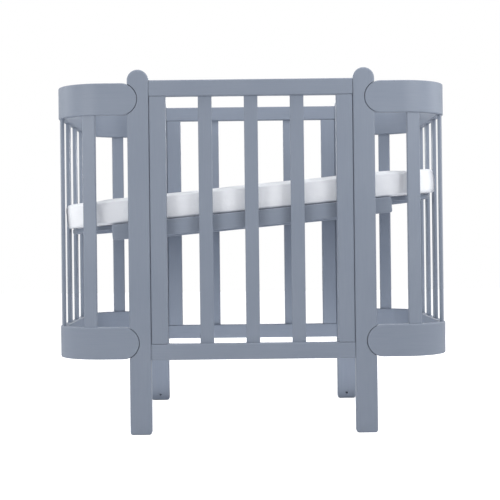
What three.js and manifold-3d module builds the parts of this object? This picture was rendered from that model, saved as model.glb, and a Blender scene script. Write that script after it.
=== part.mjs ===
// Oval baby crib: two ends of bent wood and upright slats, four flat posts, a straight panel front
// and back, and a slatted mattress base that bolts to the posts at a choice of levels.
// Millimetres, +Z up. X runs along the crib, the front faces -Y, and the floor is Z = 0.
import * as THREE from "three";
import { mergeVertices, toCreasedNormals } from "three/addons/utils/BufferGeometryUtils.js";
import Module from "manifold-3d";

const wasm = await Module();
wasm.setup();

// ------------------------------------------------------------------ driving sizes
const fitGap = 0.3; // all round, where one piece sits in or against another
const pocketGap = 1.1; // seam round a band end in its post
const edgeRadius = 3; // eased edges of the frame's timber
const slatEdgeRadius = 2; // eased edges of slats
const cribLength = 926; // over the bent bands
const cribWidth = 630; // over the posts' outer faces

const postHeight = 850;
const postWidth = 50;
const postThickness = 28;
const postSpacing = 526; // along the crib, centre to centre
const footRadius = 6;
const footHoleDiameter = 6.5;
const footHoleHeight = 15.5;
const footHoleDepth = 10;

const panelGap = 0.4; // between a panel and its posts
const panelThickness = 22;
const railHeight = 38;
const bottomRailHeight = 173; // underside of the bottom rails
const topRailHeight = 825.5; // upper edge of the top rails
const stileWidth = 39;
const panelSlatWidth = 32;
const panelSlatThickness = 10;
const panelSlatCount = 3;
const mortiseDepth = 10;
const mortiseCorner = 1;
const stileTenonWidth = 24;
const stileTenonThickness = 10;

const panelBoltDiameter = 6;
const panelBoltHeadDiameter = 10;
const panelBoltHeadLength = 6;
const panelBoltKeyWidth = 5; // across the flats of the hexagon socket
const panelBoltSink = 8; // how deep the head lies under the stile's edge
const panelBoltGrip = 24; // length of thread in the post
const panelBoltRise = 198; // above and below the panel's mid-height

const bandHeight = 75;
const bandThickness = 16;
const bandCornerRadius = 112; // outer face
const bandLap = 23; // how far a band end reaches over its post
const upperBandHeight = 744; // underside
const lowerBandHeight = 176; // underside
const endSlatCount = 7;
const endSlatToPost = 90.2; // along the band, from the middle of the last slat to its post
const endSlatWidth = 32;
const endSlatThickness = 8.5;
const endSlatEdgeRadius = 3;

const levelPitch = 47; // between the level holes in the posts
const levelCount = 8;
const lowestLevel = 195.5; // height of the lowest level hole
const baseLevel = 6; // hole taken by the low end of the base, counted from 0 at the bottom
const baseLift = 1; // holes by which the other end is set higher
const levelHoleDiameter = 8.6;
const levelHoleDepth = 10;

const baseRailLength = 660;
const baseRailHeight = 37;
const baseRailThickness = 20;
const baseRailCorner = 5; // rounding of the rail ends' corners
const baseHousingDepth = 8; // how far cross rails and slats enter the side rails
const crossRailThickness = 20;
const crossRailInset = 6; // from the end of the side rails
const crossRailDrop = 3.5; // underside above that of the side rails
const baseSlatCount = 5;
const baseSlatWidth = 60;
const baseSlatThickness = 10;
const hoopWidth = 12;
const hoopHeight = 11.3;
const hoopEdgeRadius = 3;
const hoopEndGap = 13; // to the end slats, with the base level
const hoopCornerRadius = 100; // outer face
const hoopLegLap = 52; // straight leg beside the side rail
const baseBoltDiameter = 8;
const baseBoltHeadDiameter = 16;
const baseBoltHeadHeight = 4;
const baseBoltKeyWidth = 5;
const baseBoltSlot = 6; // extra length of the slotted holes at the raised end

const mattressEndGap = 7.25; // to the end slats, with the base level and the mattress in its middle
const mattressShift = 1.5; // towards the raised end
const mattressSideGap = 4; // to the posts
const mattressThickness = 60;
const mattressCorner = 85;
const mattressEdge = 12;

// ------------------------------------------------------------------ finishes
const paint = new THREE.MeshStandardMaterial({ color: 0x8a92a2, roughness: 0.5, metalness: 0 });
const steel = new THREE.MeshStandardMaterial({ color: 0x8d9095, roughness: 0.35, metalness: 1 });
const cotton = new THREE.MeshStandardMaterial({ color: 0xf2f2f4, roughness: 0.9, metalness: 0 });

// ------------------------------------------------------------------ shapes and solids
/** Points along an arc about (x, y), angles in degrees. */
function arc(x, y, radius, from, to, steps) {
  return Array.from({ length: steps + 1 }, (_, i) => {
    const angle = THREE.MathUtils.degToRad(from + ((to - from) * i) / steps);
    return new THREE.Vector2(x + radius * Math.cos(angle), y + radius * Math.sin(angle));
  });
}

/** A rectangle about the origin with rounded corners. */
function roundedRectangle(width, height, radius, steps = 3) {
  const [x, y] = [width / 2 - radius, height / 2 - radius];
  return new THREE.Shape([
    ...arc(x, y, radius, 0, 90, steps),
    ...arc(-x, y, radius, 90, 180, steps),
    ...arc(-x, -y, radius, 180, 270, steps),
    ...arc(x, -y, radius, 270, 360, steps),
  ]);
}

/** A shape extruded along +Z and centred on Z = 0, its two faces eased by the given radius. */
function slab(shape, thickness, eased = 0, steps = 2) {
  const geometry = new THREE.ExtrudeGeometry(shape, {
    depth: thickness - 2 * eased,
    bevelEnabled: eased > 0,
    bevelThickness: eased,
    bevelSize: eased,
    bevelOffset: -eased,
    bevelSegments: steps,
    steps: 1,
  });
  return geometry.translate(0, 0, eased - thickness / 2);
}

/** A board standing on Z = 0 with its four long edges eased: width along X, thickness along Y. */
function board(width, thickness, length, radius, steps = 3) {
  return slab(roundedRectangle(width, thickness, radius, steps), length).translate(0, 0, length / 2);
}

/** The hollow for the end of a board, mouth on Z = 0: upwards into a lower edge if side is -1. */
function mortise(width, thickness, side) {
  const depth = mortiseDepth + fitGap + 1;
  return board(width + 2 * fitGap, thickness + 2 * fitGap, depth, mortiseCorner, 1)
    .translate(0, 0, 1 - depth)
    .rotateX(side < 0 ? Math.PI : 0);
}

/** A cylinder along +Z from Z = 0. */
function rod(diameter, length, sides = 12) {
  const geometry = new THREE.CylinderGeometry(diameter / 2, diameter / 2, length, sides);
  return geometry.rotateX(Math.PI / 2).translate(0, 0, length / 2);
}

function toSolid(geometry) {
  const bare = geometry.clone();
  bare.deleteAttribute("normal");
  bare.deleteAttribute("uv");
  const welded = mergeVertices(bare, 1e-4);
  const vertProperties = new Float32Array(welded.attributes.position.array);
  const triVerts = new Uint32Array(welded.index.array);
  return new wasm.Manifold(new wasm.Mesh({ numProp: 3, vertProperties, triVerts }));
}

function toGeometry(solid) {
  const mesh = solid.getMesh();
  const geometry = new THREE.BufferGeometry();
  geometry.setAttribute("position", new THREE.BufferAttribute(mesh.vertProperties, 3));
  geometry.setIndex(new THREE.BufferAttribute(mesh.triVerts, 1));
  return toCreasedNormals(geometry, THREE.MathUtils.degToRad(35));
}

/** The body joined with every geometry in `added` and cut by every geometry in `removed`. */
function shaped(body, { added = [], removed = [] }) {
  let solid = toSolid(body);
  for (const piece of added) solid = solid.add(toSolid(piece));
  for (const tool of removed) solid = solid.subtract(toSolid(tool));
  return toGeometry(solid);
}

// ------------------------------------------------------------------ the assembly
const crib = new THREE.Group();
crib.name = "crib";

function place(parent, name, geometry, material, position = [0, 0, 0], turn = [0, 0, 0]) {
  const mesh = new THREE.Mesh(geometry, material);
  mesh.name = name;
  mesh.position.set(...position);
  mesh.rotation.set(...turn);
  parent.add(mesh);
  return mesh;
}

const ends = [
  { name: "left", side: -1 },
  { name: "right", side: 1 },
];
const faces = [
  { name: "front", side: -1 },
  { name: "back", side: 1 },
];

// ------------------------------------------------------------------ bent bands and end slats
// Both are drawn for the right end. The left end is the same, turned half round.
const bandMidRadius = bandCornerRadius - bandThickness / 2;
const bandCentre = new THREE.Vector2(cribLength / 2 - bandCornerRadius, cribWidth / 2 - bandCornerRadius);
const bandStart = postSpacing / 2 + postWidth / 2 - bandLap;

/** Place on the middle of the band, a distance along it from the middle of the end. */
function alongBand(distance) {
  const side = Math.sign(distance);
  const past = Math.abs(distance) - bandCentre.y;
  if (past <= 0) return { x: bandCentre.x + bandMidRadius, y: distance, turn: 0 };
  const angle = Math.min(past / bandMidRadius, Math.PI / 2);
  const straight = Math.max(past - (bandMidRadius * Math.PI) / 2, 0);
  return {
    x: bandCentre.x + bandMidRadius * Math.cos(angle) - straight,
    y: side * (bandCentre.y + bandMidRadius * Math.sin(angle)),
    turn: side * angle,
  };
}

// The slats are evenly spaced along the middle of the band, the outermost ones set by the posts.
const bandToPost = bandCentre.y + (bandMidRadius * Math.PI) / 2 + bandCentre.x
  - (postSpacing + postWidth) / 2;
const endSlatPitch = (bandToPost - endSlatToPost) / ((endSlatCount - 1) / 2);
const endSlatPlaces = Array.from({ length: endSlatCount }, (_, i) =>
  alongBand((i - (endSlatCount - 1) / 2) * endSlatPitch),
);

/** The outline of a band end seen from the front, grown by a gap all round. */
function bandProfile(gap = 0) {
  const radius = bandHeight / 2 + gap;
  const x = bandStart + bandHeight / 2;
  return new THREE.Shape([
    ...arc(x, 0, radius, 90, 270, 14),
    new THREE.Vector2(cribLength, -radius),
    new THREE.Vector2(cribLength, radius),
  ]);
}

function bandPlan() {
  const { x, y } = bandCentre;
  const outer = bandCornerRadius;
  const inner = bandCornerRadius - bandThickness;
  return new THREE.Shape([
    new THREE.Vector2(bandStart - 1, -cribWidth / 2),
    ...arc(x, -y, outer, -90, 0, 10),
    ...arc(x, y, outer, 0, 90, 10),
    new THREE.Vector2(bandStart - 1, cribWidth / 2),
    new THREE.Vector2(bandStart - 1, cribWidth / 2 - bandThickness),
    ...arc(x, y, inner, 90, 0, 10),
    ...arc(x, -y, inner, 0, -90, 10),
    new THREE.Vector2(bandStart - 1, bandThickness - cribWidth / 2),
  ]);
}

/** A band centred on Z = 0 with its slat mortises in the lower or the upper edge. */
function band(mortiseSide) {
  const bent = toSolid(slab(bandPlan(), bandHeight, edgeRadius));
  const ending = toSolid(slab(bandProfile(), cribWidth + 2).rotateX(Math.PI / 2));
  let solid = bent.intersect(ending);
  for (const { x, y, turn } of endSlatPlaces) {
    const hollow = mortise(endSlatThickness, endSlatWidth, mortiseSide);
    hollow.rotateZ(turn).translate(x, y, (mortiseSide * bandHeight) / 2);
    solid = solid.subtract(toSolid(hollow));
  }
  return toGeometry(solid);
}

const upperBand = band(-1);
const lowerBand = band(1);
const endSlatBottom = lowerBandHeight + bandHeight - mortiseDepth;
const endSlatLength = upperBandHeight + mortiseDepth - endSlatBottom;
const endSlat = board(endSlatThickness, endSlatWidth, endSlatLength, endSlatEdgeRadius);

for (const end of ends) {
  const group = new THREE.Group();
  group.rotation.z = end.side > 0 ? 0 : Math.PI;
  crib.add(group);
  place(group, `band_upper_${end.name}`, upperBand, paint, [0, 0, upperBandHeight + bandHeight / 2]);
  place(group, `band_lower_${end.name}`, lowerBand, paint, [0, 0, lowerBandHeight + bandHeight / 2]);
  endSlatPlaces.forEach(({ x, y, turn }, i) => {
    place(group, `end_slat_${end.name}_${i + 1}`, endSlat, paint, [x, y, endSlatBottom], [0, 0, turn]);
  });
}

// ------------------------------------------------------------------ posts
// Drawn for the front right post: X = 0 is its middle and Y = 0 its outer face.
const panelMiddle = (bottomRailHeight + topRailHeight) / 2;
const panelBoltHeights = [panelMiddle - panelBoltRise, panelMiddle + panelBoltRise];
const panelY = postThickness / 2;

function post() {
  const half = postWidth / 2;
  const outline = new THREE.Shape([
    ...arc(0, postHeight - half, half, 0, 180, 18),
    ...arc(footRadius - half, footRadius, footRadius, 180, 270, 3),
    ...arc(half - footRadius, footRadius, footRadius, 270, 360, 3),
  ]);
  const body = slab(outline, postThickness, edgeRadius).rotateX(Math.PI / 2);
  body.translate(0, postThickness / 2, 0);

  const pocketDepth = bandThickness + fitGap;
  const pockets = [upperBandHeight, lowerBandHeight].map((height) =>
    slab(bandProfile(pocketGap), pocketDepth + 1)
      .rotateX(Math.PI / 2)
      .translate(-postSpacing / 2, (pocketDepth - 1) / 2, height + bandHeight / 2),
  );
  const innerHole = (diameter, depth, height) =>
    rod(diameter, depth + 1, 8).rotateX(Math.PI / 2).translate(0, postThickness + 1, height);
  const levelHoles = Array.from({ length: levelCount }, (_, i) =>
    innerHole(levelHoleDiameter, levelHoleDepth, lowestLevel + i * levelPitch),
  );
  const boltHoles = panelBoltHeights.map((height) =>
    rod(panelBoltDiameter + 2 * fitGap, panelBoltGrip + 1 + fitGap, 8)
      .rotateY(Math.PI / 2)
      .translate(-half - 1, panelY, height),
  );
  const footHole = innerHole(footHoleDiameter, footHoleDepth, footHoleHeight);
  return shaped(body, { removed: [...pockets, ...levelHoles, ...boltHoles, footHole] });
}

// The left front and right back posts are mirror images of the other two.
const postShape = post();
const mirroredPost = toGeometry(toSolid(postShape).mirror([1, 0, 0]));
for (const face of faces) {
  for (const end of ends) {
    const turned = face.side > 0;
    const shape = face.side * end.side < 0 ? postShape : mirroredPost;
    place(crib, `post_${face.name}_${end.name}`, shape, paint,
      [(end.side * postSpacing) / 2, (face.side * cribWidth) / 2, 0], [0, 0, turned ? Math.PI : 0]);
  }
}

// ------------------------------------------------------------------ front and back panels
// Drawn for the front, about the middle of the panel's thickness. The back is turned half round.
const panelLength = postSpacing - postWidth - 2 * panelGap;
const openingBottom = bottomRailHeight + railHeight;
const openingTop = topRailHeight - railHeight;
const stileX = panelLength / 2 - stileWidth / 2;
const panelSlatPitch = (panelLength - 2 * stileWidth + panelSlatWidth) / (panelSlatCount + 1);
const panelSlatXs = Array.from(
  { length: panelSlatCount },
  (_, i) => (i - (panelSlatCount - 1) / 2) * panelSlatPitch,
);

/** A rail along X with mortises in the edge that faces the opening. */
function panelRail(mortiseSide) {
  const body = board(railHeight, panelThickness, panelLength, edgeRadius)
    .rotateY(Math.PI / 2)
    .translate(-panelLength / 2, 0, 0);
  const hollows = [
    ...[-stileX, stileX].map((x) => ({ x, width: stileTenonWidth, thickness: stileTenonThickness })),
    ...panelSlatXs.map((x) => ({ x, width: panelSlatWidth, thickness: panelSlatThickness })),
  ];
  const removed = hollows.map(({ x, width, thickness }) =>
    mortise(width, thickness, mortiseSide).translate(x, 0, (mortiseSide * railHeight) / 2),
  );
  return shaped(body, { removed });
}

/** A stile between the rails, tenoned at both ends and bored for its two bolts. */
function stile() {
  const length = openingTop - openingBottom - 2 * fitGap;
  const tenonLength = length + 2 * mortiseDepth;
  const tenon = board(stileTenonWidth, stileTenonThickness, tenonLength, mortiseCorner, 1);
  const bores = panelBoltHeights.flatMap((height) => [
    rod(panelBoltDiameter + 2 * fitGap, stileWidth + 2, 8),
    rod(panelBoltHeadDiameter + 1, panelBoltSink + panelBoltHeadLength + 1),
  ].map((bore) => bore
    .rotateY(Math.PI / 2)
    .translate(-stileWidth / 2 - 1, 0, height - openingBottom - fitGap)));
  return shaped(board(stileWidth, panelThickness, length, edgeRadius), {
    added: [tenon.translate(0, 0, -mortiseDepth)],
    removed: bores,
  });
}

/** A socket-head bolt along +Z, the head's underside on Z = 0 and its shank running up. */
function socketBolt(diameter, length, headDiameter, headLength, keyWidth, dome = 0) {
  const head = dome
    ? new THREE.CylinderGeometry(headDiameter / 2, headDiameter / 2 - dome, headLength, 16)
    : new THREE.CylinderGeometry(headDiameter / 2, headDiameter / 2, headLength, 12);
  head.rotateX(Math.PI / 2).translate(0, 0, -headLength / 2);
  const socket = rod(keyWidth / Math.cos(Math.PI / 6), headLength / 2 + 1, 6);
  return shaped(head, {
    added: [rod(diameter, length + 1, 10).translate(0, 0, -1)],
    removed: [socket.translate(0, 0, -headLength - 1)],
  });
}

const railShapes = { top: panelRail(-1), bottom: panelRail(1) };
const stileShape = stile();
const panelSlatLength = openingTop - openingBottom + 2 * mortiseDepth;
const panelSlat = board(panelSlatWidth, panelSlatThickness, panelSlatLength, slatEdgeRadius);
const panelBolt = socketBolt(
  panelBoltDiameter,
  stileWidth - panelBoltSink - panelBoltHeadLength + panelGap + panelBoltGrip - fitGap,
  panelBoltHeadDiameter, panelBoltHeadLength, panelBoltKeyWidth,
);

for (const face of faces) {
  const panel = new THREE.Group();
  panel.position.y = face.side * (cribWidth / 2 - panelY);
  panel.rotation.z = face.side > 0 ? Math.PI : 0;
  crib.add(panel);
  place(panel, `rail_top_${face.name}`, railShapes.top, paint, [0, 0, topRailHeight - railHeight / 2]);
  place(panel, `rail_bottom_${face.name}`, railShapes.bottom, paint,
    [0, 0, bottomRailHeight + railHeight / 2]);
  panelSlatXs.forEach((x, i) => {
    place(panel, `slat_${face.name}_${i + 1}`, panelSlat, paint, [x, 0, openingBottom - mortiseDepth]);
  });
  for (const end of ends) {
    const hand = face.side > 0 ? -end.side : end.side;
    const turn = [0, 0, hand > 0 ? 0 : Math.PI];
    place(panel, `stile_${face.name}_${end.name}`, stileShape, paint,
      [hand * stileX, 0, openingBottom + fitGap], turn);
    panelBoltHeights.forEach((height, i) => {
      const x = hand * (stileX - stileWidth / 2 + panelBoltSink + panelBoltHeadLength);
      place(panel, `panel_bolt_${face.name}_${end.name}_${["lower", "upper"][i]}`, panelBolt, steel,
        [x, 0, height], [0, (hand * Math.PI) / 2, 0]);
    });
  }
}

// ------------------------------------------------------------------ mattress base
// Drawn level about the middle of its side rails, then set on the two chosen holes.
const lowEnd = lowestLevel + baseLevel * levelPitch;
const raise = baseLift * levelPitch;
const base = new THREE.Group();
base.position.z = lowEnd + raise / 2;
base.rotation.y = -Math.atan2(raise, postSpacing);
crib.add(base);

const boltX = Math.hypot(postSpacing, raise) / 2;
const railOuterY = cribWidth / 2 - postThickness - fitGap;
const railInnerY = railOuterY - baseRailThickness;
const railTop = baseRailHeight / 2;
const crossRailX = baseRailLength / 2 - crossRailInset - crossRailThickness / 2;
const crossRailBottom = crossRailDrop - railTop;
const hoopOuterY = railInnerY - fitGap;
const hoopBottom = railTop - hoopHeight;
const endSlatFace = cribLength / 2 - bandThickness / 2 - endSlatThickness / 2;
const hoopReach = endSlatFace - hoopEndGap; // from the middle of the base to the end of the hoop
const baseSlatPitch = (2 * crossRailX) / (baseSlatCount + 1);
const baseSlatXs = Array.from(
  { length: baseSlatCount },
  (_, i) => (i - (baseSlatCount - 1) / 2) * baseSlatPitch,
);
const housedLength = 2 * (railInnerY + baseHousingDepth - fitGap);

/** The front side rail: its hole on the left is round and the one on the right is slotted. */
function baseRail() {
  const outline = roundedRectangle(baseRailLength, baseRailHeight, baseRailCorner);
  const body = slab(outline, baseRailThickness, slatEdgeRadius).rotateX(Math.PI / 2);
  const housing = baseHousingDepth + 1;
  const innerY = baseRailThickness / 2 - baseHousingDepth + housing / 2;
  const crossHeight = hoopBottom - fitGap - crossRailBottom;
  const crossHousings = [-crossRailX, crossRailX].map((x) =>
    new THREE.BoxGeometry(crossRailThickness + 2 * fitGap, housing, crossHeight + 2 * fitGap)
      .translate(x, innerY, crossRailBottom + crossHeight / 2),
  );
  const slatHousings = baseSlatXs.map((x) =>
    new THREE.BoxGeometry(baseSlatWidth + 2 * fitGap, housing, baseSlatThickness + fitGap + 1)
      .translate(x, innerY, railTop + 1 - (baseSlatThickness + fitGap + 1) / 2),
  );
  const hole = rod(baseBoltDiameter + 2 * fitGap, baseRailThickness + 2)
    .rotateX(Math.PI / 2)
    .translate(0, baseRailThickness / 2 + 1, 0);
  const slotWidth = baseBoltDiameter + 2 * fitGap;
  const slot = slab(
    roundedRectangle(slotWidth + baseBoltSlot, slotWidth, slotWidth / 2, 6), baseRailThickness + 2,
  ).rotateX(Math.PI / 2);
  return shaped(body, {
    removed: [
      ...crossHousings, ...slatHousings, hole.translate(-boltX, 0, 0), slot.translate(boltX, 0, 0),
    ],
  });
}

/** A cross rail between the side rails, cut down at both ends to let the hoop's legs pass over. */
function crossRail() {
  const tenon = housedLength / 2;
  const shoulder = hoopOuterY - hoopWidth - fitGap;
  const low = hoopBottom - fitGap;
  const outline = new THREE.Shape([
    new THREE.Vector2(-tenon, crossRailBottom), new THREE.Vector2(tenon, crossRailBottom),
    new THREE.Vector2(tenon, low), new THREE.Vector2(shoulder, low),
    new THREE.Vector2(shoulder, railTop), new THREE.Vector2(-shoulder, railTop),
    new THREE.Vector2(-shoulder, low), new THREE.Vector2(-tenon, low),
  ]);
  return slab(outline, crossRailThickness).rotateX(Math.PI / 2).rotateZ(Math.PI / 2);
}

/** The right-hand hoop: two straight legs, two corners and the end, in one bent bar. */
function hoop() {
  const centre = new THREE.Vector2(hoopReach - hoopCornerRadius, hoopOuterY - hoopCornerRadius);
  const legEnd = baseRailLength / 2 - hoopLegLap;
  const outline = (inset) => {
    const radius = hoopCornerRadius - inset;
    return [
      new THREE.Vector2(legEnd, inset - hoopOuterY),
      ...arc(centre.x, -centre.y, radius, -90, 0, 10),
      ...arc(centre.x, centre.y, radius, 0, 90, 10),
      new THREE.Vector2(legEnd, hoopOuterY - inset),
    ];
  };
  const plan = new THREE.Shape([...outline(0), ...outline(hoopWidth).reverse()]);
  return slab(plan, hoopHeight, hoopEdgeRadius);
}

const baseRailShape = baseRail();
const mirroredBaseRail = toGeometry(toSolid(baseRailShape).mirror([0, 1, 0]));
const crossRailShape = crossRail();
const hoopShape = hoop();
const baseSlat = board(baseSlatWidth, baseSlatThickness, housedLength, slatEdgeRadius)
  .rotateX(Math.PI / 2)
  .translate(0, housedLength / 2, railTop - baseSlatThickness / 2);
const baseBolt = socketBolt(
  baseBoltDiameter, baseRailThickness, baseBoltHeadDiameter, baseBoltHeadHeight, baseBoltKeyWidth, 2,
);

for (const face of faces) {
  place(base, `base_rail_${face.name}`, face.side < 0 ? baseRailShape : mirroredBaseRail, paint,
    [0, face.side * (railOuterY - baseRailThickness / 2), 0]);
  for (const end of ends) {
    place(base, `base_bolt_${face.name}_${end.name}`, baseBolt, steel,
      [end.side * boltX, face.side * (railInnerY - fitGap), 0], [(-face.side * Math.PI) / 2, 0, 0]);
  }
}
for (const end of ends) {
  place(base, `base_cross_rail_${end.name}`, crossRailShape, paint, [end.side * crossRailX, 0, 0]);
  place(base, `base_hoop_${end.name}`, hoopShape, paint,
    [0, 0, railTop - hoopHeight / 2], [0, 0, end.side > 0 ? 0 : Math.PI]);
}
baseSlatXs.forEach((x, i) => {
  place(base, `base_slat_${i + 1}`, baseSlat, paint, [x, 0, 0]);
});

// ------------------------------------------------------------------ mattress
const mattressLength = 2 * (endSlatFace - mattressEndGap);
const mattressWidth = cribWidth - 2 * postThickness - 2 * mattressSideGap;
const mattress = slab(
  roundedRectangle(mattressLength, mattressWidth, mattressCorner, 8), mattressThickness, mattressEdge, 3,
);
place(base, "mattress", mattress, cotton,
  [mattressShift, 0, railTop + fitGap + mattressThickness / 2]);

export default crib;
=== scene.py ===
import math

import bmesh
import bpy
import numpy as np
from mathutils import Matrix, Vector, noise


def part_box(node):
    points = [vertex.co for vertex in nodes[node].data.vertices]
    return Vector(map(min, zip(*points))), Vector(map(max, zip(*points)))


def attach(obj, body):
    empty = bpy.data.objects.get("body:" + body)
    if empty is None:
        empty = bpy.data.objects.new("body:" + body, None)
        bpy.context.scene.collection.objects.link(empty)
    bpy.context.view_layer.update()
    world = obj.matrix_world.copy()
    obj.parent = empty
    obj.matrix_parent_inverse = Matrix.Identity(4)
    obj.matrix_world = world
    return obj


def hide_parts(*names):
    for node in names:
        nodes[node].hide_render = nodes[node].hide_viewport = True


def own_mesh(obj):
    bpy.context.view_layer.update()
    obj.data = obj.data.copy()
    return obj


# A baby crib with bent ends: its bent bands, hoops, slats, screws and fitted cover are made here, around the
# posts, rails, stiles, base and bolts that come from the frame. Sizes are in metres.
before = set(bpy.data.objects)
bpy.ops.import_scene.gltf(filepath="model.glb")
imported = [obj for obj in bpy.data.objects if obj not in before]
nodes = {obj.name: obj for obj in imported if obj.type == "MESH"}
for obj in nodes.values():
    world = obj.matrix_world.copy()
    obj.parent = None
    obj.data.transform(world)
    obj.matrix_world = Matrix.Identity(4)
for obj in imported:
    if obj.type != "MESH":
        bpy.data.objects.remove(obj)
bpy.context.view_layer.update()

# ------------------------------------------------------------------ sizes of the wood and the screws
BAND_THICKNESS = 0.016
BAND_CORNER = 0.112  # outer face
BAND_EASED_EDGE = 0.003
END_SLAT_COUNT = 7
END_SLAT_PITCH = 0.11305  # along the middle of the band
END_SLAT_WIDTH = 0.032
END_SLAT_THICKNESS = 0.0085
END_SLAT_EASED_EDGE = 0.003
PANEL_SLAT_COUNT = 3
PANEL_SLAT_PITCH = 0.1073
PANEL_SLAT_WIDTH = 0.032
PANEL_SLAT_THICKNESS = 0.010
PANEL_SLAT_EASED_EDGE = 0.002
PANEL_REACH = 0.2  # half the line that a panel's slats stand on
HOOP_WIDTH = 0.012
HOOP_HEIGHT = 0.0113
HOOP_CORNER = 0.100  # outer face
HOOP_EASED_EDGE = 0.003
SCREW_HEAD = 0.0085
SCREW_KEY = 0.004  # hexagon socket, across its corners
SCREW_DEPTH = 0.0016
SCREW_KEY_RISE = 0.0006  # of the socket's cutter above the head's middle
SCREW_SUNK = 0.00065  # middle of the head, behind the post's inner face
SCREW_FROM_TIP = 0.0135  # from the tip of the band's end
SCREW_OFF_MIDDLE = 0.018  # above and below the middle of the band
WOOD_EDGE = 0.0006  # easing of the posts, rails, stiles and base
BOLT_EDGE = 0.0003  # easing of the bolts' rims
SHARP_TURN = math.radians(50)  # an edge that turns further is an edge to the eye
TOUCHING = 1e-5  # points nearer than this are one

# ------------------------------------------------------------------ sizes of the base, mattress and cover
HOLE_PITCH = 0.047  # between two level holes; the right end stands one hole higher
BOLT_SPAN = 0.526  # between the bolts at the base's two ends
BASE_MIDDLE = Vector((0, 0, 0.501))
RAIL_TOP = 0.0185  # above the middle of the base rails
MATTRESS_LENGTH = 0.887
MATTRESS_SHIFT = 0.0015  # towards the raised end
MATTRESS_WIDTH = 0.566
MATTRESS_THICKNESS = 0.060
MATTRESS_CORNER = 0.085
MATTRESS_BOTTOM = RAIL_TOP + 0.0003
STRAIGHT_X = MATTRESS_LENGTH / 2 - MATTRESS_CORNER  # where the rounded corners begin
STRAIGHT_Y = MATTRESS_WIDTH / 2 - MATTRESS_CORNER
COVER_INSET = 0.002  # of the cover's starting shape, at the sides and on top
COVER_RISE = 0.004  # most that the filled cover swells upwards
COVER_BULGE = 0.0025  # most that it swells sideways
COVER_LENGTH = 0.8936  # drawn tight against the end seams
COVER_MESH = 0.0065  # between the points of the cover before it is filled
THREAD_PITCH = 0.0009  # of the cotton's weave

LEVEL_BASE = Matrix.Rotation(math.atan2(HOLE_PITCH, BOLT_SPAN), 4, "Y") @ Matrix.Translation(-BASE_MIDDLE)
TILTED_BASE = LEVEL_BASE.inverted()
LEVEL_MATTRESS = Matrix.Translation((-MATTRESS_SHIFT, 0, 0)) @ LEVEL_BASE
TILTED_MATTRESS = LEVEL_MATTRESS.inverted()

# ------------------------------------------------------------------ colours
PAINT_DARK, PAINT_LIGHT = (0.214, 0.248, 0.312, 1), (0.242, 0.276, 0.339, 1)
PAINT_EDGE_HIGHLIGHT, EDGE_HIGHLIGHT_SHARE = (0.38, 0.42, 0.48, 1), 0.5  # painted highlight on the edges, and its share of the colour at the most rounded edge
EDGE_HIGHLIGHT_REACH = 0.0022  # how far the painted edge highlight reaches in from an edge, in metres
ZINC_DARK, ZINC_LIGHT = (0.40, 0.41, 0.43, 1), (0.62, 0.63, 0.65, 1)
COTTON_DARK, COTTON_LIGHT = (0.845, 0.868, 0.915, 1), (0.920, 0.936, 0.972, 1)
WHITE = (1, 1, 1, 1)

collection = bpy.context.scene.collection
ENDS = {"left": -1, "right": 1}  # which way they lie along X
FACES = {"front": -1, "back": 1}  # which way they lie along Y


# ------------------------------------------------------------------ node trees
def add(tree, kind, inputs=None, **settings):
    """A node with its settings, each input given a plain value or joined to another node's output."""
    made = tree.nodes.new(kind)
    for name, value in settings.items():
        setattr(made, name, value)
    for key, value in (inputs or {}).items():
        socket = made.inputs[key]
        if isinstance(value, bpy.types.NodeSocket):
            tree.links.new(value, socket)
        else:
            socket.default_value = value
    return made


def maths(tree, operation, *values, clamp=False):
    """The result of a Math node."""
    return add(tree, "ShaderNodeMath", dict(enumerate(values)), operation=operation,
               use_clamp=clamp).outputs[0]


def vectors(tree, operation, *values):
    """The result of a Vector Math node; the last value is the factor where the operation is SCALE."""
    inputs = {0: values[0], "Scale": values[1]} if operation == "SCALE" else dict(enumerate(values))
    made = add(tree, "ShaderNodeVectorMath", inputs, operation=operation)
    return made.outputs["Value" if operation == "DOT_PRODUCT" else "Vector"]


def noise_of(tree, vector, scale, detail, **inputs):
    """The value of a Noise Texture node."""
    return add(tree, "ShaderNodeTexNoise",
               {"Vector": vector, "Scale": scale, "Detail": detail, **inputs}).outputs["Fac"]


def ramp(tree, factor, dark, light, start=0.0, end=1.0):
    """A colour between dark and light, as the factor goes from start to end."""
    made = add(tree, "ShaderNodeValToRGB", {"Fac": factor})
    for element, position, colour in zip(made.color_ramp.elements, (start, end), (dark, light)):
        element.position = position
        element.color = colour
    return made.outputs["Color"]


def geometry_tree(name, finish, **sizes):
    """A Geometry Nodes tree with a finish and a named input of the given type for each size."""
    tree = bpy.data.node_groups.new(name, "GeometryNodeTree")
    tree.interface.new_socket("Geometry", in_out="INPUT", socket_type="NodeSocketGeometry")
    tree.interface.new_socket("Geometry", in_out="OUTPUT", socket_type="NodeSocketGeometry")
    kinds = {int: "NodeSocketInt", float: "NodeSocketFloat"}
    for label, kind in sizes.items():
        tree.interface.new_socket(label, in_out="INPUT", socket_type=kinds[kind])
    socket = tree.interface.new_socket("finish", in_out="INPUT", socket_type="NodeSocketMaterial")
    socket.default_value = finish
    return tree, add(tree, "NodeGroupInput").outputs


def end_tree(tree, geometry, finish):
    """Realizes the instances, sets the finish and joins the result to the tree's output."""
    real = add(tree, "GeometryNodeRealizeInstances", {"Geometry": geometry}).outputs[0]
    finished = add(tree, "GeometryNodeSetMaterial", {"Geometry": real, "Material": finish}).outputs[0]
    add(tree, "NodeGroupOutput", {"Geometry": finished})


def plain_mesh(piece):
    """Turns a piece and its modifiers into a plain mesh."""
    bpy.context.view_layer.update()
    shaped = piece.evaluated_get(bpy.context.evaluated_depsgraph_get())
    mesh = bpy.data.meshes.new_from_object(shaped)
    piece.modifiers.clear()
    piece.data = mesh
    mesh.name = piece.name


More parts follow.
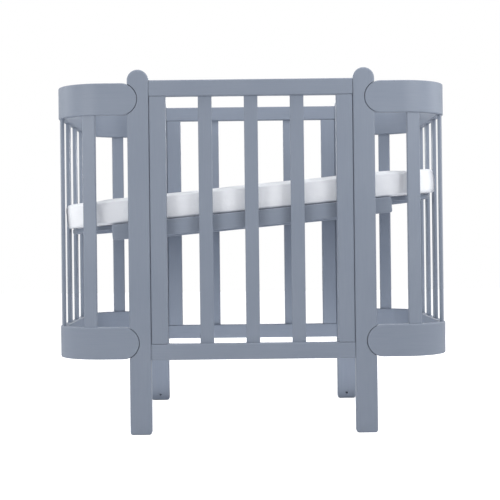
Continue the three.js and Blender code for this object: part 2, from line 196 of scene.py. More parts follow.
def grown(name, tree, path, **sizes):
    """A plain mesh grown by a tree from an open path of points, with the given sizes."""
    start = bpy.data.meshes.new(name + "_path")
    start.from_pydata(path, [(i, i + 1) for i in range(len(path) - 1)], [])
    piece = bpy.data.objects.new(name, start)
    collection.objects.link(piece)
    modifier = piece.modifiers.new("grow", "NODES")
    modifier.node_group = tree
    for item in tree.interface.items_tree:
        if item.in_out == "INPUT" and item.name in sizes:
            modifier[item.identifier] = sizes[item.name]
    plain_mesh(piece)
    return piece


# ------------------------------------------------------------------ finishes
def blank_material(name):
    """A new material, its tree and its Principled shader."""
    material = bpy.data.materials.new(name)
    material.use_nodes = True
    tree = material.node_tree
    return material, tree, tree.nodes["Principled BSDF"]


def painted_edge_highlights(tree):
    """A factor that is 0 on open faces and rises to 1 on the rounded edges: the mask of the painted edge
    highlight.
    """
    rounded = add(tree, "ShaderNodeBevel", {"Radius": EDGE_HIGHLIGHT_REACH}, samples=4).outputs[0]
    facing = add(tree, "ShaderNodeNewGeometry").outputs["Normal"]
    edge = maths(tree, "SUBTRACT", 1.0, vectors(tree, "DOT_PRODUCT", rounded, facing))
    return maths(tree, "MULTIPLY", edge, 2.5, clamp=True)


def painted_wood(name, grain):
    """Satin grey-blue paint on beech.

    grain is the fineness of the pattern along X, Y and Z, coarse along the board.
    """
    material, tree, shader = blank_material(name)
    shader.inputs["Specular IOR Level"].default_value = 0.3
    place = add(tree, "ShaderNodeTexCoord").outputs["Object"]
    along = add(tree, "ShaderNodeMapping", {"Vector": place, "Scale": grain}).outputs[0]
    pores = noise_of(tree, along, 1.0, 3.0, Roughness=0.6)
    cloudy = noise_of(tree, place, 7.0, 2.0)
    roller = noise_of(tree, place, 420.0, 2.0)  # the fine stipple that a paint roller leaves
    # the rounded edges get a lighter colour, a painted highlight, and a little less roughness
    edge = painted_edge_highlights(tree)

    shade = maths(tree, "MULTIPLY_ADD", cloudy, 0.5, maths(tree, "MULTIPLY", pores, 0.5))
    # a painted highlight: the edge mask mixes the lighter colour into the paint
    colour = add(tree, "ShaderNodeMix", {
        "Factor": maths(tree, "MULTIPLY", edge, EDGE_HIGHLIGHT_SHARE),
        "A": ramp(tree, shade, PAINT_DARK, PAINT_LIGHT, 0.30, 0.70),
        "B": PAINT_EDGE_HIGHLIGHT}, data_type="RGBA").outputs["Result"]
    tree.links.new(colour, shader.inputs["Base Color"])

    gloss = maths(tree, "MULTIPLY_ADD", roller, 0.16, 0.40)
    gloss = maths(tree, "MULTIPLY_ADD", edge, -0.06, gloss)
    tree.links.new(gloss, shader.inputs["Roughness"])

    relief = maths(tree, "MULTIPLY_ADD", pores, 0.6, roller)
    bump = add(tree, "ShaderNodeBump", {"Height": relief, "Strength": 0.25, "Distance": 0.0002})
    tree.links.new(bump.outputs[0], shader.inputs["Normal"])
    return material


def zinc_steel():
    """Zinc-plated bolts and screws: bright, with fine turning marks and a few dull patches."""
    material, tree, shader = blank_material("zinc_steel")
    shader.inputs["Metallic"].default_value = 1.0
    place = add(tree, "ShaderNodeTexCoord").outputs["Object"]
    patches = noise_of(tree, place, 260.0, 3.0)
    marks = noise_of(tree, place, 2400.0, 1.0)
    tree.links.new(ramp(tree, patches, ZINC_DARK, ZINC_LIGHT), shader.inputs["Base Color"])
    gloss = maths(tree, "MULTIPLY_ADD", patches, 0.25, 0.22)
    tree.links.new(gloss, shader.inputs["Roughness"])
    bump = add(tree, "ShaderNodeBump", {"Height": marks, "Strength": 0.2, "Distance": 0.0001})
    tree.links.new(bump.outputs[0], shader.inputs["Normal"])
    return material


def cotton():
    """White percale: two crossing sets of threads on the cover's own map, with soft creases."""
    material, tree, shader = blank_material("white_cotton")
    shader.inputs["Sheen Weight"].default_value = 0.1
    shader.inputs["Sheen Roughness"].default_value = 0.6
    shader.inputs["Specular IOR Level"].default_value = 0.2
    shader.inputs["Roughness"].default_value = 0.9
    laid = add(tree, "ShaderNodeUVMap", uv_map="cloth").outputs[0]
    parts = add(tree, "ShaderNodeSeparateXYZ", {"Vector": laid}).outputs
    threads = 2 * math.pi / THREAD_PITCH
    warp = maths(tree, "SINE", maths(tree, "MULTIPLY", parts["X"], threads))
    weft = maths(tree, "SINE", maths(tree, "MULTIPLY", parts["Y"], threads))
    weave = maths(tree, "MULTIPLY", warp, weft)
    thread_run = add(tree, "ShaderNodeMapping", {"Vector": laid, "Scale": (60, 900, 1)}).outputs[0]
    slub = noise_of(tree, thread_run, 1.0, 2.0)
    creases = noise_of(tree, laid, 22.0, 4.0, Roughness=0.55, Distortion=0.8)
    tree.links.new(ramp(tree, slub, COTTON_DARK, COTTON_LIGHT), shader.inputs["Base Color"])
    fine = add(tree, "ShaderNodeBump", {"Height": weave, "Strength": 0.35, "Distance": 0.0001})
    soft = add(tree, "ShaderNodeBump", {"Height": creases, "Strength": 0.5, "Distance": 0.003,
                                        "Normal": fine.outputs[0]})
    tree.links.new(soft.outputs[0], shader.inputs["Normal"])
    return material


FINE, COARSE = 520.0, 14.0  # fineness of the grain across a board and along it
paint_upright = painted_wood("paint_grain_upright", (FINE, FINE, COARSE))
paint_lengthwise = painted_wood("paint_grain_lengthwise", (COARSE, FINE, FINE))
paint_crosswise = painted_wood("paint_grain_crosswise", (FINE, COARSE, FINE))
paint_bent = painted_wood("paint_grain_bent", (COARSE, COARSE, FINE))
steel = zinc_steel()
cloth = cotton()


# ------------------------------------------------------------------ trees of Geometry Nodes
CORNER_STEPS = 48  # round a bent corner
EDGE_STEPS = 5  # round an eased edge
PATH_STEP = 0.003
HOOP_STEP = 0.004
BAND_COLUMN = 0.004  # between two columns of a band's faces
SECTION_POINTS = 2 + 2 * (EDGE_STEPS + 1)  # of half a band's section


def along_path(tree, path, length):
    """Position and outward direction at a length along a level path."""
    at = add(tree, "GeometryNodeSampleCurve", {"Curves": path, "Length": length}, mode="LENGTH",
             use_all_curves=True).outputs
    outward = vectors(tree, "CROSS_PRODUCT", at["Tangent"], (0, 0, 1))
    return at["Position"], vectors(tree, "NORMALIZE", outward)


def fillet(tree, curve, radius, count):
    """The curve with its corners rounded."""
    return add(tree, "GeometryNodeFilletCurve", {"Curve": curve, "Count": count, "Radius": radius},
               mode="POLY").outputs[0]


def bent_path(tree, mesh, radius, step):
    """The starting mesh as a curve, its corners bent to a radius, with a point every step."""
    path = add(tree, "GeometryNodeMeshToCurve", {"Mesh": mesh}).outputs[0]
    path = fillet(tree, path, radius, CORNER_STEPS)
    return add(tree, "GeometryNodeResampleCurve", {"Curve": path, "Length": step}, mode="LENGTH").outputs[0]


def eased_section(tree, width, height, radius):
    """A closed rectangle in the XY plane with rounded corners."""
    section = add(tree, "GeometryNodeCurvePrimitiveQuadrilateral", {"Width": width, "Height": height})
    return fillet(tree, section.outputs[0], radius, EDGE_STEPS)


def half_section(tree, inward, below, above, radius):
    """Half a board's section, from its middle line out over the two eased edges and back."""
    corners = [(inward, above), (0.0, above), (0.0, below), (inward, below)]
    line = add(tree, "GeometryNodeCurvePrimitiveQuadrilateral", {
        f"Point {i + 1}": add(tree, "ShaderNodeCombineXYZ", {"X": x, "Y": y}).outputs[0]
        for i, (x, y) in enumerate(corners)}, mode="POINTS").outputs[0]
    line = add(tree, "GeometryNodeSetSplineCyclic", {"Geometry": line, "Cyclic": False}).outputs[0]
    return fillet(tree, line, radius, EDGE_STEPS)


def shade_by_angle(tree, geometry):
    """Smooth faces, parted at the edges that turn sharply."""
    smooth = add(tree, "GeometryNodeSetShadeSmooth", {"Geometry": geometry}, domain="FACE").outputs[0]
    angle = add(tree, "GeometryNodeInputMeshEdgeAngle").outputs["Unsigned Angle"]
    sharp = add(tree, "FunctionNodeCompare", {"A": angle, "B": SHARP_TURN}, operation="GREATER_THAN")
    return add(tree, "GeometryNodeSetShadeSmooth", {
        "Geometry": smooth, "Selection": sharp.outputs[0], "Shade Smooth": False}, domain="EDGE").outputs[0]


def flat_board(tree, given, length):
    """A band before it is bent: X along the board, Y up it and Z outwards, with half-round ends.

    Its columns run round the outline, from one tip over to the other; the lower half mirrors the upper.
    """
    half_height = maths(tree, "MULTIPLY", given["height"], 0.5)
    above = maths(tree, "MULTIPLY", given["thickness"], 0.5)
    section = half_section(tree, maths(tree, "MULTIPLY", half_height, -1.0),
                           maths(tree, "MULTIPLY", above, -1.0), above, given["eased"])

    straight = maths(tree, "SUBTRACT", length, given["height"])
    quarter = maths(tree, "MULTIPLY", half_height, math.pi / 2)
    round_trip = maths(tree, "MULTIPLY_ADD", quarter, 2.0, straight)
    sheet = add(tree, "GeometryNodeMeshGrid", {
        "Size X": 1.0, "Size Y": 1.0, "Vertices Y": SECTION_POINTS,
        "Vertices X": maths(tree, "DIVIDE", round_trip, BAND_COLUMN)}).outputs[0]
    here = add(tree, "GeometryNodeInputPosition").outputs[0]
    cell = add(tree, "ShaderNodeSeparateXYZ", {"Vector": here}).outputs

    # How far each column has gone round the outline: how much of that was straight and how much turning.
    going = maths(tree, "MULTIPLY", maths(tree, "ADD", cell["X"], 0.5), round_trip)
    past = maths(tree, "SUBTRACT", going, quarter)
    run = maths(tree, "MINIMUM", maths(tree, "MAXIMUM", past, 0.0), straight)
    turned = maths(tree, "ADD", maths(tree, "MINIMUM", going, quarter),
                   maths(tree, "MAXIMUM", maths(tree, "SUBTRACT", past, straight), 0.0))
    angle = maths(tree, "DIVIDE", turned, half_height)

    # Each row of the sheet is one point of the section.
    row = maths(tree, "ROUND", maths(tree, "MULTIPLY_ADD", cell["Y"], SECTION_POINTS - 1.0,
                                     (SECTION_POINTS - 1) / 2))
    there = add(tree, "GeometryNodeSampleIndex", {"Geometry": section, "Value": here, "Index": row},
                data_type="FLOAT_VECTOR", domain="POINT").outputs[0]
    there = add(tree, "ShaderNodeSeparateXYZ", {"Vector": there}).outputs
    reach = maths(tree, "ADD", half_height, there["X"])
    middle = maths(tree, "SUBTRACT", maths(tree, "MULTIPLY", straight, 0.5), run)
    place = add(tree, "ShaderNodeCombineXYZ", {
        "X": maths(tree, "MULTIPLY_ADD", reach, maths(tree, "COSINE", angle), middle),
        "Y": maths(tree, "MULTIPLY", reach, maths(tree, "SINE", angle)),
        "Z": there["Y"]}).outputs[0]
    upper = add(tree, "GeometryNodeSetPosition", {"Geometry": sheet, "Position": place}).outputs[0]
    lower = add(tree, "GeometryNodeTransform", {"Geometry": upper, "Scale": (1, -1, 1)}).outputs[0]
    upper = add(tree, "GeometryNodeFlipFaces", {"Mesh": upper}).outputs[0]
    both = add(tree, "GeometryNodeJoinGeometry", {"Geometry": upper})
    tree.links.new(lower, both.inputs[0])
    whole = add(tree, "GeometryNodeMergeByDistance", {"Geometry": both.outputs[0], "Distance": TOUCHING})
    return whole.outputs[0]


def bent_band_tree():
    """A board with half-round ends and eased edges, bent along a level path."""
    tree, given = geometry_tree("bent_band", paint_bent, height=float, thickness=float, corner=float,
                                eased=float)
    path = bent_path(tree, given["Geometry"], given["corner"], PATH_STEP)
    length = add(tree, "GeometryNodeCurveLength", {"Curve": path}).outputs[0]
    board = flat_board(tree, given, length)
    here = add(tree, "GeometryNodeInputPosition").outputs[0]
    parts = add(tree, "ShaderNodeSeparateXYZ", {"Vector": here}).outputs
    position, outward = along_path(tree, path, maths(tree, "MULTIPLY_ADD", length, 0.5, parts["X"]))
    rise = add(tree, "ShaderNodeCombineXYZ", {"Z": parts["Y"]}).outputs[0]
    shift = vectors(tree, "SCALE", outward, parts["Z"])
    place = vectors(tree, "ADD", vectors(tree, "ADD", position, shift), rise)
    bent = add(tree, "GeometryNodeSetPosition", {"Geometry": board, "Position": place})
    smooth = add(tree, "GeometryNodeSetShadeSmooth", {"Geometry": bent.outputs[0]}).outputs[0]
    end_tree(tree, smooth, given["finish"])
    return tree


def hoop_tree():
    """A slim bar with rounded edges, bent along a path."""
    tree, given = geometry_tree("bent_hoop", paint_bent, width=float, height=float, corner=float,
                                eased=float)
    path = bent_path(tree, given["Geometry"], given["corner"], HOOP_STEP)
    section = eased_section(tree, given["width"], given["height"], given["eased"])
    bar = add(tree, "GeometryNodeCurveToMesh", {"Curve": path, "Profile Curve": section, "Fill Caps": True})
    end_tree(tree, shade_by_angle(tree, bar.outputs[0]), given["finish"])
    return tree


def slat_row_tree():
    """Upright slats at an even pitch along a path with bent corners, each turned with the path."""
    tree, given = geometry_tree("slat_row", paint_upright, count=int, pitch=float, width=float,
                                thickness=float, length=float, corner=float, eased=float)
    path = bent_path(tree, given["Geometry"], given["corner"], PATH_STEP)
    whole = add(tree, "GeometryNodeCurveLength", {"Curve": path}).outputs[0]
    section = eased_section(tree, given["thickness"], given["width"], given["eased"])
    top = add(tree, "ShaderNodeCombineXYZ", {"Z": given["length"]}).outputs[0]
    axis = add(tree, "GeometryNodeCurvePrimitiveLine", {"End": top}).outputs[0]
    slat = add(tree, "GeometryNodeCurveToMesh", {"Curve": axis, "Profile Curve": section, "Fill Caps": True})
    slat = shade_by_angle(tree, slat.outputs[0])

    points = add(tree, "GeometryNodePoints", {"Count": given["count"]}).outputs[0]
    number = add(tree, "GeometryNodeInputIndex").outputs[0]
    middle = maths(tree, "MULTIPLY", maths(tree, "SUBTRACT", given["count"], 1.0), 0.5)
    step = maths(tree, "MULTIPLY", maths(tree, "SUBTRACT", number, middle), given["pitch"])
    position, outward = along_path(tree, path, maths(tree, "MULTIPLY_ADD", whole, 0.5, step))
    spots = add(tree, "GeometryNodeSetPosition", {"Geometry": points, "Position": position}).outputs[0]
    turn = add(tree, "FunctionNodeAxesToRotation", {"Primary Axis": (0, 0, 1), "Secondary Axis": outward},
               primary_axis="Z", secondary_axis="X").outputs[0]
    row = add(tree, "GeometryNodeInstanceOnPoints", {"Points": spots, "Instance": slat, "Rotation": turn})
    end_tree(tree, row.outputs[0], given["finish"])
    return tree


def screw_tree():
    """A screw head with a hexagon socket at each point of the starting mesh, facing side along Y."""
    tree, given = geometry_tree("screw_heads", steel, head=float, key=float, side=float)
    disc, cutter = (
        add(tree, "GeometryNodeMeshCylinder", {
            "Vertices": corners, "Radius": maths(tree, "MULTIPLY", given[size], 0.5),
            "Depth": SCREW_DEPTH}).outputs[0]
        for corners, size in ((24, "head"), (6, "key")))
    cutter = add(tree, "GeometryNodeTransform", {"Geometry": cutter, "Translation": (0, 0, SCREW_KEY_RISE)})
    head = add(tree, "GeometryNodeMeshBoolean", {"Mesh 1": disc, "Mesh 2": cutter.outputs[0]},
               operation="DIFFERENCE").outputs[0]
    facing = add(tree, "ShaderNodeCombineXYZ", {"Y": given["side"]}).outputs[0]
    turn = add(tree, "FunctionNodeAlignRotationToVector", {"Vector": facing}, axis="Z").outputs[0]
    heads = add(tree, "GeometryNodeInstanceOnPoints", {
        "Points": given["Geometry"], "Instance": head, "Rotation": turn}).outputs[0]
    end_tree(tree, heads, given["finish"])
    return tree


bent_band, bent_hoop, slat_row, screw_heads = bent_band_tree(), hoop_tree(), slat_row_tree(), screw_tree()


# ------------------------------------------------------------------ bands, slats, hoops and screws
def even_normals(piece):
    """Keeps broad faces flat to the eye beside their eased edges."""
    even = piece.modifiers.new("even", "WEIGHTED_NORMAL")
    even.keep_sharp = True


def wood(piece, body, *replaced):
    """Keeps its broad faces flat to the eye, rides on its body and stands for its CAD nodes, which are
    hidden.
    """
    even_normals(piece)
    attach(piece, body)
    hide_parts(*replaced)


def end_path(low, high, side, thickness, z):
    """The middle line of a bent piece at one end: from its front tip round to its back tip."""
    x = high.x - thickness / 2 if side > 0 else -low.x - thickness / 2
    y = high.y - thickness / 2
    tip = low.x if side > 0 else -high.x
    path = [(tip, -y, z), (x, -y, z), (x, y, z), (tip, y, z)]
    return path if side > 0 else [(-px, -py, pz) for px, py, pz in path]


def dress_end(end, side):
    """The two bands, the row of slats and the base's hoop at one end."""
    for level in ("lower", "upper"):
        low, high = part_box(f"band_{level}_{end}")
        path = end_path(low, high, side, BAND_THICKNESS, (low.z + high.z) / 2)
        band = grown(f"bent_band_{level}_{end}", bent_band, path, height=high.z - low.z,
                     thickness=BAND_THICKNESS, corner=BAND_CORNER - BAND_THICKNESS / 2, eased=BAND_EASED_EDGE)
        wood(band, "frame", f"band_{level}_{end}")

    # The slats stand on the middle line of the bands.
    slat_low, slat_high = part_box(f"end_slat_{end}_4")
    path = end_path(low, high, side, BAND_THICKNESS, slat_low.z)
    slats = grown(f"slats_{end}_end", slat_row, path, count=END_SLAT_COUNT, pitch=END_SLAT_PITCH,
                  width=END_SLAT_WIDTH, thickness=END_SLAT_THICKNESS, length=slat_high.z - slat_low.z,
                  corner=BAND_CORNER - BAND_THICKNESS / 2, eased=END_SLAT_EASED_EDGE)
    wood(slats, "frame", *[f"end_slat_{end}_{i + 1}" for i in range(END_SLAT_COUNT)])

    # The hoop's path is drawn level, then tilted with the base.
    solid = [LEVEL_BASE @ v.co for v in nodes[f"base_hoop_{end}"].data.vertices]
    low = Vector(min(p[i] for p in solid) for i in range(3))
    high = Vector(max(p[i] for p in solid) for i in range(3))
    path = end_path(low, high, side, HOOP_WIDTH, (low.z + high.z) / 2)
    path = [tuple(TILTED_BASE @ Vector(p)) for p in path]
    hoop = grown(f"bent_hoop_{end}", bent_hoop, path, width=HOOP_WIDTH, height=HOOP_HEIGHT,
                 corner=HOOP_CORNER - HOOP_WIDTH / 2, eased=HOOP_EASED_EDGE)
    wood(hoop, "base", f"base_hoop_{end}")


def panel_slats(face, side):
    """The upright slats of one straight panel."""
    low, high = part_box(f"slat_{face}_2")
    y = (low.y + high.y) / 2
    path = [(PANEL_REACH * side, y, low.z), (-PANEL_REACH * side, y, low.z)]
    slats = grown(f"slats_{face}_panel", slat_row, path, count=PANEL_SLAT_COUNT, pitch=PANEL_SLAT_PITCH,
                  width=PANEL_SLAT_WIDTH, thickness=PANEL_SLAT_THICKNESS, length=high.z - low.z,
                  corner=0.0, eased=PANEL_SLAT_EASED_EDGE)
    wood(slats, "frame", *[f"slat_{face}_{i + 1}" for i in range(PANEL_SLAT_COUNT)])


def band_screws(face, side):
    """Two screws through each post from inside, into each band end."""
    spots = []
    for end, outward in ENDS.items():
        post_low, post_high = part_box(f"post_{face}_{end}")
        inside = post_high.y if side < 0 else post_low.y
        for level in ("lower", "upper"):
            low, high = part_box(f"band_{level}_{end}")
            tip = low.x if outward > 0 else high.x
            for rise in (-SCREW_OFF_MIDDLE, SCREW_OFF_MIDDLE):
                spots.append((tip + outward * SCREW_FROM_TIP, inside + side * SCREW_SUNK,
                              (low.z + high.z) / 2 + rise))
    screws = grown(f"band_screws_{face}", screw_heads, spots, head=SCREW_HEAD, key=SCREW_KEY,
                   side=float(-side))
    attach(screws, "frame")


for end, side in ENDS.items():
    dress_end(end, side)
for face, side in FACES.items():
    panel_slats(face, side)
    band_screws(face, side)


# ------------------------------------------------------------------ the filling of the mattress cover
SEWN_STRIP = 0.004  # height of the underside that the pressure doesn't move
FOAM_PRESSURE = 4
CLOTH_SLACK = 0.012  # share by which the cloth is cut larger than its start
SETTLING_FRAMES = 20
STEADY_HEIGHT = 0.006  # the cover rises freely only above this height, over the next stretch
RISING_STRETCH = 0.02


def points_of(mesh):
    """The mesh's points as an array, one row each."""
    points = np.empty(len(mesh.vertices) * 3)
    mesh.vertices.foreach_get("co", points)
    return points.reshape(-1, 3)


def normals_of(mesh):
    """The direction that each point of the mesh faces."""
    normals = np.empty(len(mesh.vertices) * 3)
    mesh.vertices.foreach_get("normal", normals)
    return normals.reshape(-1, 3)


def move_points(mesh, points):
    """Puts the mesh's points where the array says."""
    mesh.vertices.foreach_set("co", np.asarray(points).ravel())
    mesh.update()


def start_of_cover():
    """The mattress as one closed form, level, a little smaller than its space and evenly meshed."""
    form = bmesh.new()
    form.from_mesh(nodes["mattress"].data)
    bmesh.ops.remove_doubles(form, verts=form.verts, dist=TOUCHING)
    narrower = 1 - 2 * COVER_INSET / MATTRESS_WIDTH
    thinner = 1 - COVER_INSET / MATTRESS_THICKNESS
    shrink = Matrix.Diagonal((1, narrower, thinner, 1))
    seat = Matrix.Translation((0, 0, MATTRESS_BOTTOM))
    form.transform(seat @ shrink @ seat.inverted() @ LEVEL_MATTRESS)
    mesh = bpy.data.meshes.new("mattress_cover")
    form.to_mesh(mesh)
    form.free()
    cover = bpy.data.objects.new("mattress_cover", mesh)
    collection.objects.link(cover)
    remesh = cover.modifiers.new("even", "REMESH")
    remesh.mode = "VOXEL"
    remesh.voxel_size = COVER_MESH
    plain_mesh(cover)
    return cover


def blown_points(cover, start):
    """Where the cover's points settle under the foam's pressure, its underside held."""
    sewn = cover.vertex_groups.new(name="underside")
    low_points = np.nonzero(start[:, 2] < MATTRESS_BOTTOM + SEWN_STRIP)[0]
    sewn.add([int(i) for i in low_points], 1.0, "REPLACE")
    blown = cover.modifiers.new("blown", "CLOTH")
    blown.settings.quality = 4
    blown.settings.mass = 0.3
    blown.settings.use_pressure = True
    blown.settings.uniform_pressure_force = FOAM_PRESSURE
    blown.settings.shrink_min = -CLOTH_SLACK
    blown.settings.vertex_group_mass = "underside"
    blown.settings.effector_weights.gravity = 0
    blown.collision_settings.use_self_collision = False
    scene = bpy.context.scene
    scene.frame_start, scene.frame_end = 1, SETTLING_FRAMES
    blown.point_cache.frame_start, blown.point_cache.frame_end = 1, SETTLING_FRAMES
    for frame_number in range(1, SETTLING_FRAMES + 1):
        scene.frame_set(frame_number)
    shaped = cover.evaluated_get(bpy.context.evaluated_depsgraph_get())
    swollen = points_of(bpy.data.meshes.new_from_object(shaped))
    cover.modifiers.clear()
    cover.vertex_groups.clear()
    scene.frame_set(1)
    return swollen


def fill(cover):
    """Lets the foam press the cover out, then holds it within the room between the posts."""
    start = points_of(cover.data)
    swollen = blown_points(cover, start)
    move = swollen - start
    sideways = np.linalg.norm(move[:, :2], axis=1) + 1e-9
    move[:, :2] *= (COVER_BULGE * np.tanh(sideways / COVER_BULGE) / sideways)[:, None]
    move[:, 2] = COVER_RISE * np.tanh(move[:, 2] / COVER_RISE)
    upward = np.clip((start[:, 2] - MATTRESS_BOTTOM - STEADY_HEIGHT) / RISING_STRETCH, 0, 1)
    move[:, 2] = np.maximum(move[:, 2], 0) * upward
    move_points(cover.data, start + move)


def stretch(cover):
    """Draws the cover out to its full length, as the foam does against the end seams."""
    points = points_of(cover.data)
    points[:, 0] *= COVER_LENGTH / (2 * np.abs(points[:, 0]).max())
    move_points(cover.data, points)


# ------------------------------------------------------------------ the folds, seam and hem of the cover
# Frequencies are cycles to a metre, and depths are how far the cloth stands out.
PUCKERS, PUCKER_DEPTH = 48, 0.0008  # short, from the elastic in the hem
FOLDS, FOLD_DEPTH = 17, 0.0010  # wider, round the sides
RIM_FOLD_DEPTH = 0.0011  # of the same folds where they run on over the edge
SWELLS, SWELL_DEPTH = 4.2, 0.0016  # of the top as a whole
RIPPLES, RIPPLE_DEPTH = (13, 16), 0.0007  # along and across the top
CORNER_FOLDS, CORNER_FOLD_DEPTH = 30, 0.0012
RIM_REACH = 0.045  # how far in from the rim the folds run
UNDERSIDE = -0.85  # the cloth lies flat on the slats where it faces further down than this
CREASE_DEPTH, CREASE_WIDTH = 0.0018, 0.006  # where each rounded corner begins, on the front and back
CREASE_BEYOND, CREASE_LEAN = 0.003, 0.006  # past that point, and from its foot to its top
RIDGE_DEPTH, RIDGE_WIDTH, RIDGE_OFF_CREASE = 0.0010, 0.008, 0.013
SEAM_HEIGHT, SEAM_WIDTH, SEAM_DEPTH = 0.84, 0.035, 0.0008  # the first two as shares of the thickness
PIPING = 0.0020  # how much crisper the upper and lower edges are than the foam inside
PIPING_REACH = 0.015
FALL, FALL_START, FALL_LENGTH = 0.0030, 0.325, 0.045  # of the top, towards the two ends
HEM_LIFT, HEM_WAVE, HEM_WAVES = 0.0013, 0.0009, 30  # of the lower edge all round
HEM_END_LIFT, HEM_END_START, HEM_END_LENGTH = 0.0020, 0.33, 0.05  # and more towards the two ends
HEM_REACH = 0.03


def around(points):
    """How far round the mattress each point lies, its outward direction, and its distance in from the rim."""
    x, y = points[:, 0], points[:, 1]
    near_x, near_y = np.clip(x, -STRAIGHT_X, STRAIGHT_X), np.clip(y, -STRAIGHT_Y, STRAIGHT_Y)
    out_x, out_y = x - near_x, y - near_y
    inner = (np.abs(out_x) + np.abs(out_y)) < 1e-6
    to_x, to_y = STRAIGHT_X - np.abs(x), STRAIGHT_Y - np.abs(y)
    out_x = np.where(inner & (to_x <= to_y), np.sign(x), out_x)
    out_y = np.where(inner & (to_x > to_y), np.sign(y), out_y)
    angle = np.arctan2(out_y, out_x)
    radius = np.where(inner, -np.minimum(to_x, to_y), np.hypot(out_x, out_y))
    along_y = near_y + STRAIGHT_Y
    front = np.where(angle < -math.pi / 2, near_x - along_y, near_x + along_y)
    back = STRAIGHT_X + along_y + (STRAIGHT_X - near_x)
    distance = MATTRESS_CORNER * angle + np.where(angle < 0, front, back)
    return distance, angle, MATTRESS_CORNER - radius


def uneven(along, across, layer):
    """Smooth noise from -1 to 1 over two coordinates; each layer is another pattern."""
    return np.array([noise.noise(Vector((a, b, layer))) for a, b in zip(along, across)])


def hump(value, middle, width):
    """1 where the value is at the middle, falling to 0 over the width."""
    return np.exp(-((value - middle) / width) ** 2)


def gradual(value, start, length):
    """Rises smoothly from 0 at the start to 1 a length further on."""
    share = np.clip((value - start) / length, 0, 1)
    return share * share * (3 - 2 * share)


def folds_of(points, distance, angle, inside, height, side):
    """How far puckers, folds and swells push each point out."""
    x, y = points[:, 0], points[:, 1]
    rim = np.exp(-np.maximum(inside, 0) / RIM_REACH)
    turn = np.abs(angle)
    corner = np.maximum(hump(turn, math.pi / 4, 0.5), hump(turn, 3 * math.pi / 4, 0.5))
    puckers = uneven(distance * PUCKERS, height * 1.2, 3.1)
    folds = uneven(distance * FOLDS, height * 0.9 + inside * 6, 7.7)
    swells = uneven(x * SWELLS, y * SWELLS, 1.3)
    ripples = uneven(x * RIPPLES[0], y * RIPPLES[1], 5.9)
    corner_folds = uneven(distance * CORNER_FOLDS, inside * 5, 2.2)
    towards_hem = 1.4 - height
    push = side * (PUCKER_DEPTH * puckers * towards_hem + FOLD_DEPTH * folds)
    push += (1 - side) * (SWELL_DEPTH * swells + RIPPLE_DEPTH * ripples + RIM_FOLD_DEPTH * rim * folds)
    return push + CORNER_FOLD_DEPTH * corner * rim * corner_folds


def sewn_lines(points, normals, inside, height, side):
    """How far the corner creases, the top panel's seam and the piped edges push each point out."""
    from_crease = np.abs(points[:, 0]) - (STRAIGHT_X + CREASE_BEYOND) - CREASE_LEAN * (height - 0.5)
    front = side * np.abs(normals[:, 1])
    push = -CREASE_DEPTH * front * hump(from_crease, 0, CREASE_WIDTH)
    push += RIDGE_DEPTH * front * hump(from_crease, -RIDGE_OFF_CREASE, RIDGE_WIDTH)
    push -= SEAM_DEPTH * side * hump(height, SEAM_HEIGHT, SEAM_WIDTH)
    turning_edge = hump(side, 0.35, 0.3) * np.clip(1.5 - inside / PIPING_REACH, 0, 1)
    return push + PIPING * turning_edge


def rumple(cover):
    """Gives the filled cover its folds and sewn lines, and lets its ends fall and its hem rise."""
    cover.data.update()
    points, normals = points_of(cover.data), normals_of(cover.data)
    distance, angle, inside = around(points)
    height = np.clip((points[:, 2] - MATTRESS_BOTTOM) / MATTRESS_THICKNESS, 0, 1)
    side = 1 - np.abs(normals[:, 2])
    loose = normals[:, 2] >= UNDERSIDE
    push = loose * folds_of(points, distance, angle, inside, height, side)
    push += sewn_lines(points, normals, inside, height, side)
    lift = loose * (HEM_LIFT + HEM_WAVE * uneven(distance * HEM_WAVES, np.full(len(points), 0.4), 9.1))

    points += normals * push[:, None]
    points[:, 2] = np.maximum(points[:, 2], MATTRESS_BOTTOM)
    points[:, 2] -= FALL * gradual(np.abs(points[:, 0]), FALL_START, FALL_LENGTH) * height
    lift += HEM_END_LIFT * gradual(np.abs(points[:, 0]), HEM_END_START, HEM_END_LENGTH)
    points[:, 2] += lift * (1 - height) ** 2 * np.clip(1.4 - inside / HEM_REACH, 0, 1)
    move_points(cover.data, points)


def lay_cloth(mesh):
    """A map in metres: flat over the top, and round the sides by distance and height."""
    points = points_of(mesh)
    distance, _, _ = around(points)
    laid = mesh.uv_layers.new(name="cloth")
    for face in mesh.polygons:
        upright = abs(face.normal.z) < 0.6
        for loop in face.loop_indices:
            i = mesh.loops[loop].vertex_index
            laid.data[loop].uv = (distance[i], points[i, 2]) if upright else points[i, :2]


cover = start_of_cover()
fill(cover)
finer = cover.modifiers.new("finer", "SUBSURF")
finer.levels = finer.render_levels = 1
plain_mesh(cover)
stretch(cover)
rumple(cover)
lay_cloth(cover.data)
for face in cover.data.polygons:
    face.use_smooth = True
cover.data.transform(TILTED_MATTRESS)
cover.data.materials.clear()
cover.data.materials.append(cloth)
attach(cover, "base")
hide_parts("mattress")
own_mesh(cover)


# ------------------------------------------------------------------ posts, rails and hardware
def finish_of(node):
    """The finish of a CAD node, its grain along the board."""
    if "bolt" in node:
        return steel
    if node.startswith(("band", "base_hoop")):
        return paint_bent
    if node.startswith(("base_cross_rail", "base_slat")):
        return paint_crosswise
    if node.startswith(("rail", "base_rail")):
        return paint_lengthwise
    return paint_upright


for name, node in nodes.items():
    node.data.materials.clear()
    node.data.materials.append(finish_of(name))
    if node.hide_render:
        continue
    for face in node.data.polygons:
        face.use_smooth = True
    weld = node.modifiers.new("weld", "WELD")
    weld.merge_threshold = TOUCHING
    ease = node.modifiers.new("ease", "BEVEL")
    ease.width = BOLT_EDGE if "bolt" in name else WOOD_EDGE
    ease.segments = 2
    ease.limit_method = "ANGLE"
    ease.angle_limit = SHARP_TURN
    ease.use_clamp_overlap = True
    even_normals(node)

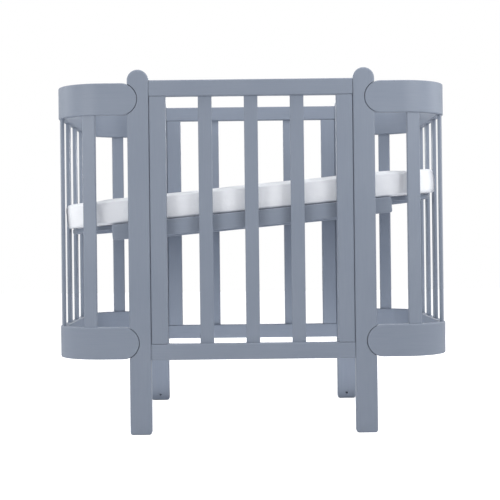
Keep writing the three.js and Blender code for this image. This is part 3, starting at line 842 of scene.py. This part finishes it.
# ------------------------------------------------------------------ studio
AMBIENT = 0.35  # light from all round, beside the soft boxes
FLOOR_GLOW = 0.8  # with the light that falls on it, the floor comes out white
FLOOR_SIZE = 14
SOFT_BOXES = {  # place, aim, width and height in metres, watts
    "soft_box_left": ((-1.05, -1.22, 0.85), (-0.15, -0.2, 0.5), 0.6, 0.5, 6.2),
    "soft_box_right": ((1.0, -1.18, 1.15), (0.1, -0.2, 0.5), 0.6, 0.5, 8.8),
    "soft_box_left_end": ((-2.0, 0.0, 1.2), (-0.4, 0.0, 0.6), 0.8, 1.0, 9.6),
    "soft_box_right_end": ((2.0, 0.0, 1.2), (0.4, 0.0, 0.6), 0.8, 1.0, 10.6),
    "soft_box_behind": ((0.0, 2.4, 1.2), (0.0, 0.3, 0.5), 1.6, 0.9, 19.0),
    "soft_box_above": ((0.0, -0.40, 2.0), (0.0, 0.0, 0.6), 1.2, 0.6, 12.4),
    "light_table": ((0.0, 0.0, 0.002), (0.0, 0.0, 1.0), 1.3, 0.5, 2.6),  # a dim glow from the floor
}

world = bpy.data.worlds.new("studio")
bpy.context.scene.world = world
world.use_nodes = True
sky = world.node_tree
sky.nodes.clear()
rays = add(sky, "ShaderNodeLightPath").outputs
seen = maths(sky, "MAXIMUM", rays["Is Camera Ray"], rays["Is Glossy Ray"])
seen = maths(sky, "MAXIMUM", seen, rays["Is Transmission Ray"])
ambient = add(sky, "ShaderNodeBackground", {"Color": WHITE, "Strength": AMBIENT})
backdrop = add(sky, "ShaderNodeBackground", {"Color": WHITE, "Strength": 1.0})
mixed = add(sky, "ShaderNodeMixShader", {0: seen, 1: ambient.outputs[0], 2: backdrop.outputs[0]})
add(sky, "ShaderNodeOutputWorld", {"Surface": mixed.outputs[0]})

for name, (place, aim, width, height, watts) in SOFT_BOXES.items():
    light = bpy.data.lights.new(name, "AREA")
    light.shape = "RECTANGLE"
    light.size = width
    light.size_y = height
    light.energy = watts
    lamp = bpy.data.objects.new(name, light)
    lamp.location = place
    lamp.rotation_euler = (Vector(aim) - Vector(place)).to_track_quat("-Z", "Y").to_euler()
    if name == "light_table":
        lamp.visible_camera = lamp.visible_glossy = False
    collection.objects.link(lamp)

bpy.ops.mesh.primitive_plane_add(size=FLOOR_SIZE, location=(0, 0, 0))
floor = bpy.context.object
floor.name = "floor"
floor_material, tree, shader = blank_material("floor_white")
shader.inputs["Base Color"].default_value = (0.86, 0.86, 0.87, 1)
shader.inputs["Roughness"].default_value = 0.9
shader.inputs["Specular IOR Level"].default_value = 0.1
camera_ray = add(tree, "ShaderNodeLightPath").outputs["Is Camera Ray"]
glow = add(tree, "ShaderNodeEmission", {
    "Color": WHITE, "Strength": maths(tree, "MULTIPLY", camera_ray, FLOOR_GLOW)})
lit = add(tree, "ShaderNodeAddShader", {0: shader.outputs[0], 1: glow.outputs[0]})
tree.links.new(lit.outputs[0], tree.nodes["Material Output"].inputs["Surface"])
floor.data.materials.append(floor_material)

# ------------------------------------------------------------------ camera
lens = bpy.data.cameras.new("camera")
lens.sensor_width = 36
lens.lens = 86.54
lens.shift_y = -0.0312
lens.clip_end = 60
camera = bpy.data.objects.new("camera", lens)
camera.location = (-0.0037, -3.1078, 0.4573)
camera.rotation_euler = (math.radians(90.13), math.radians(0.658), math.radians(0.027))
collection.objects.link(camera)
bpy.context.scene.camera = camera

bpy.context.scene.view_settings.view_transform = "Standard"
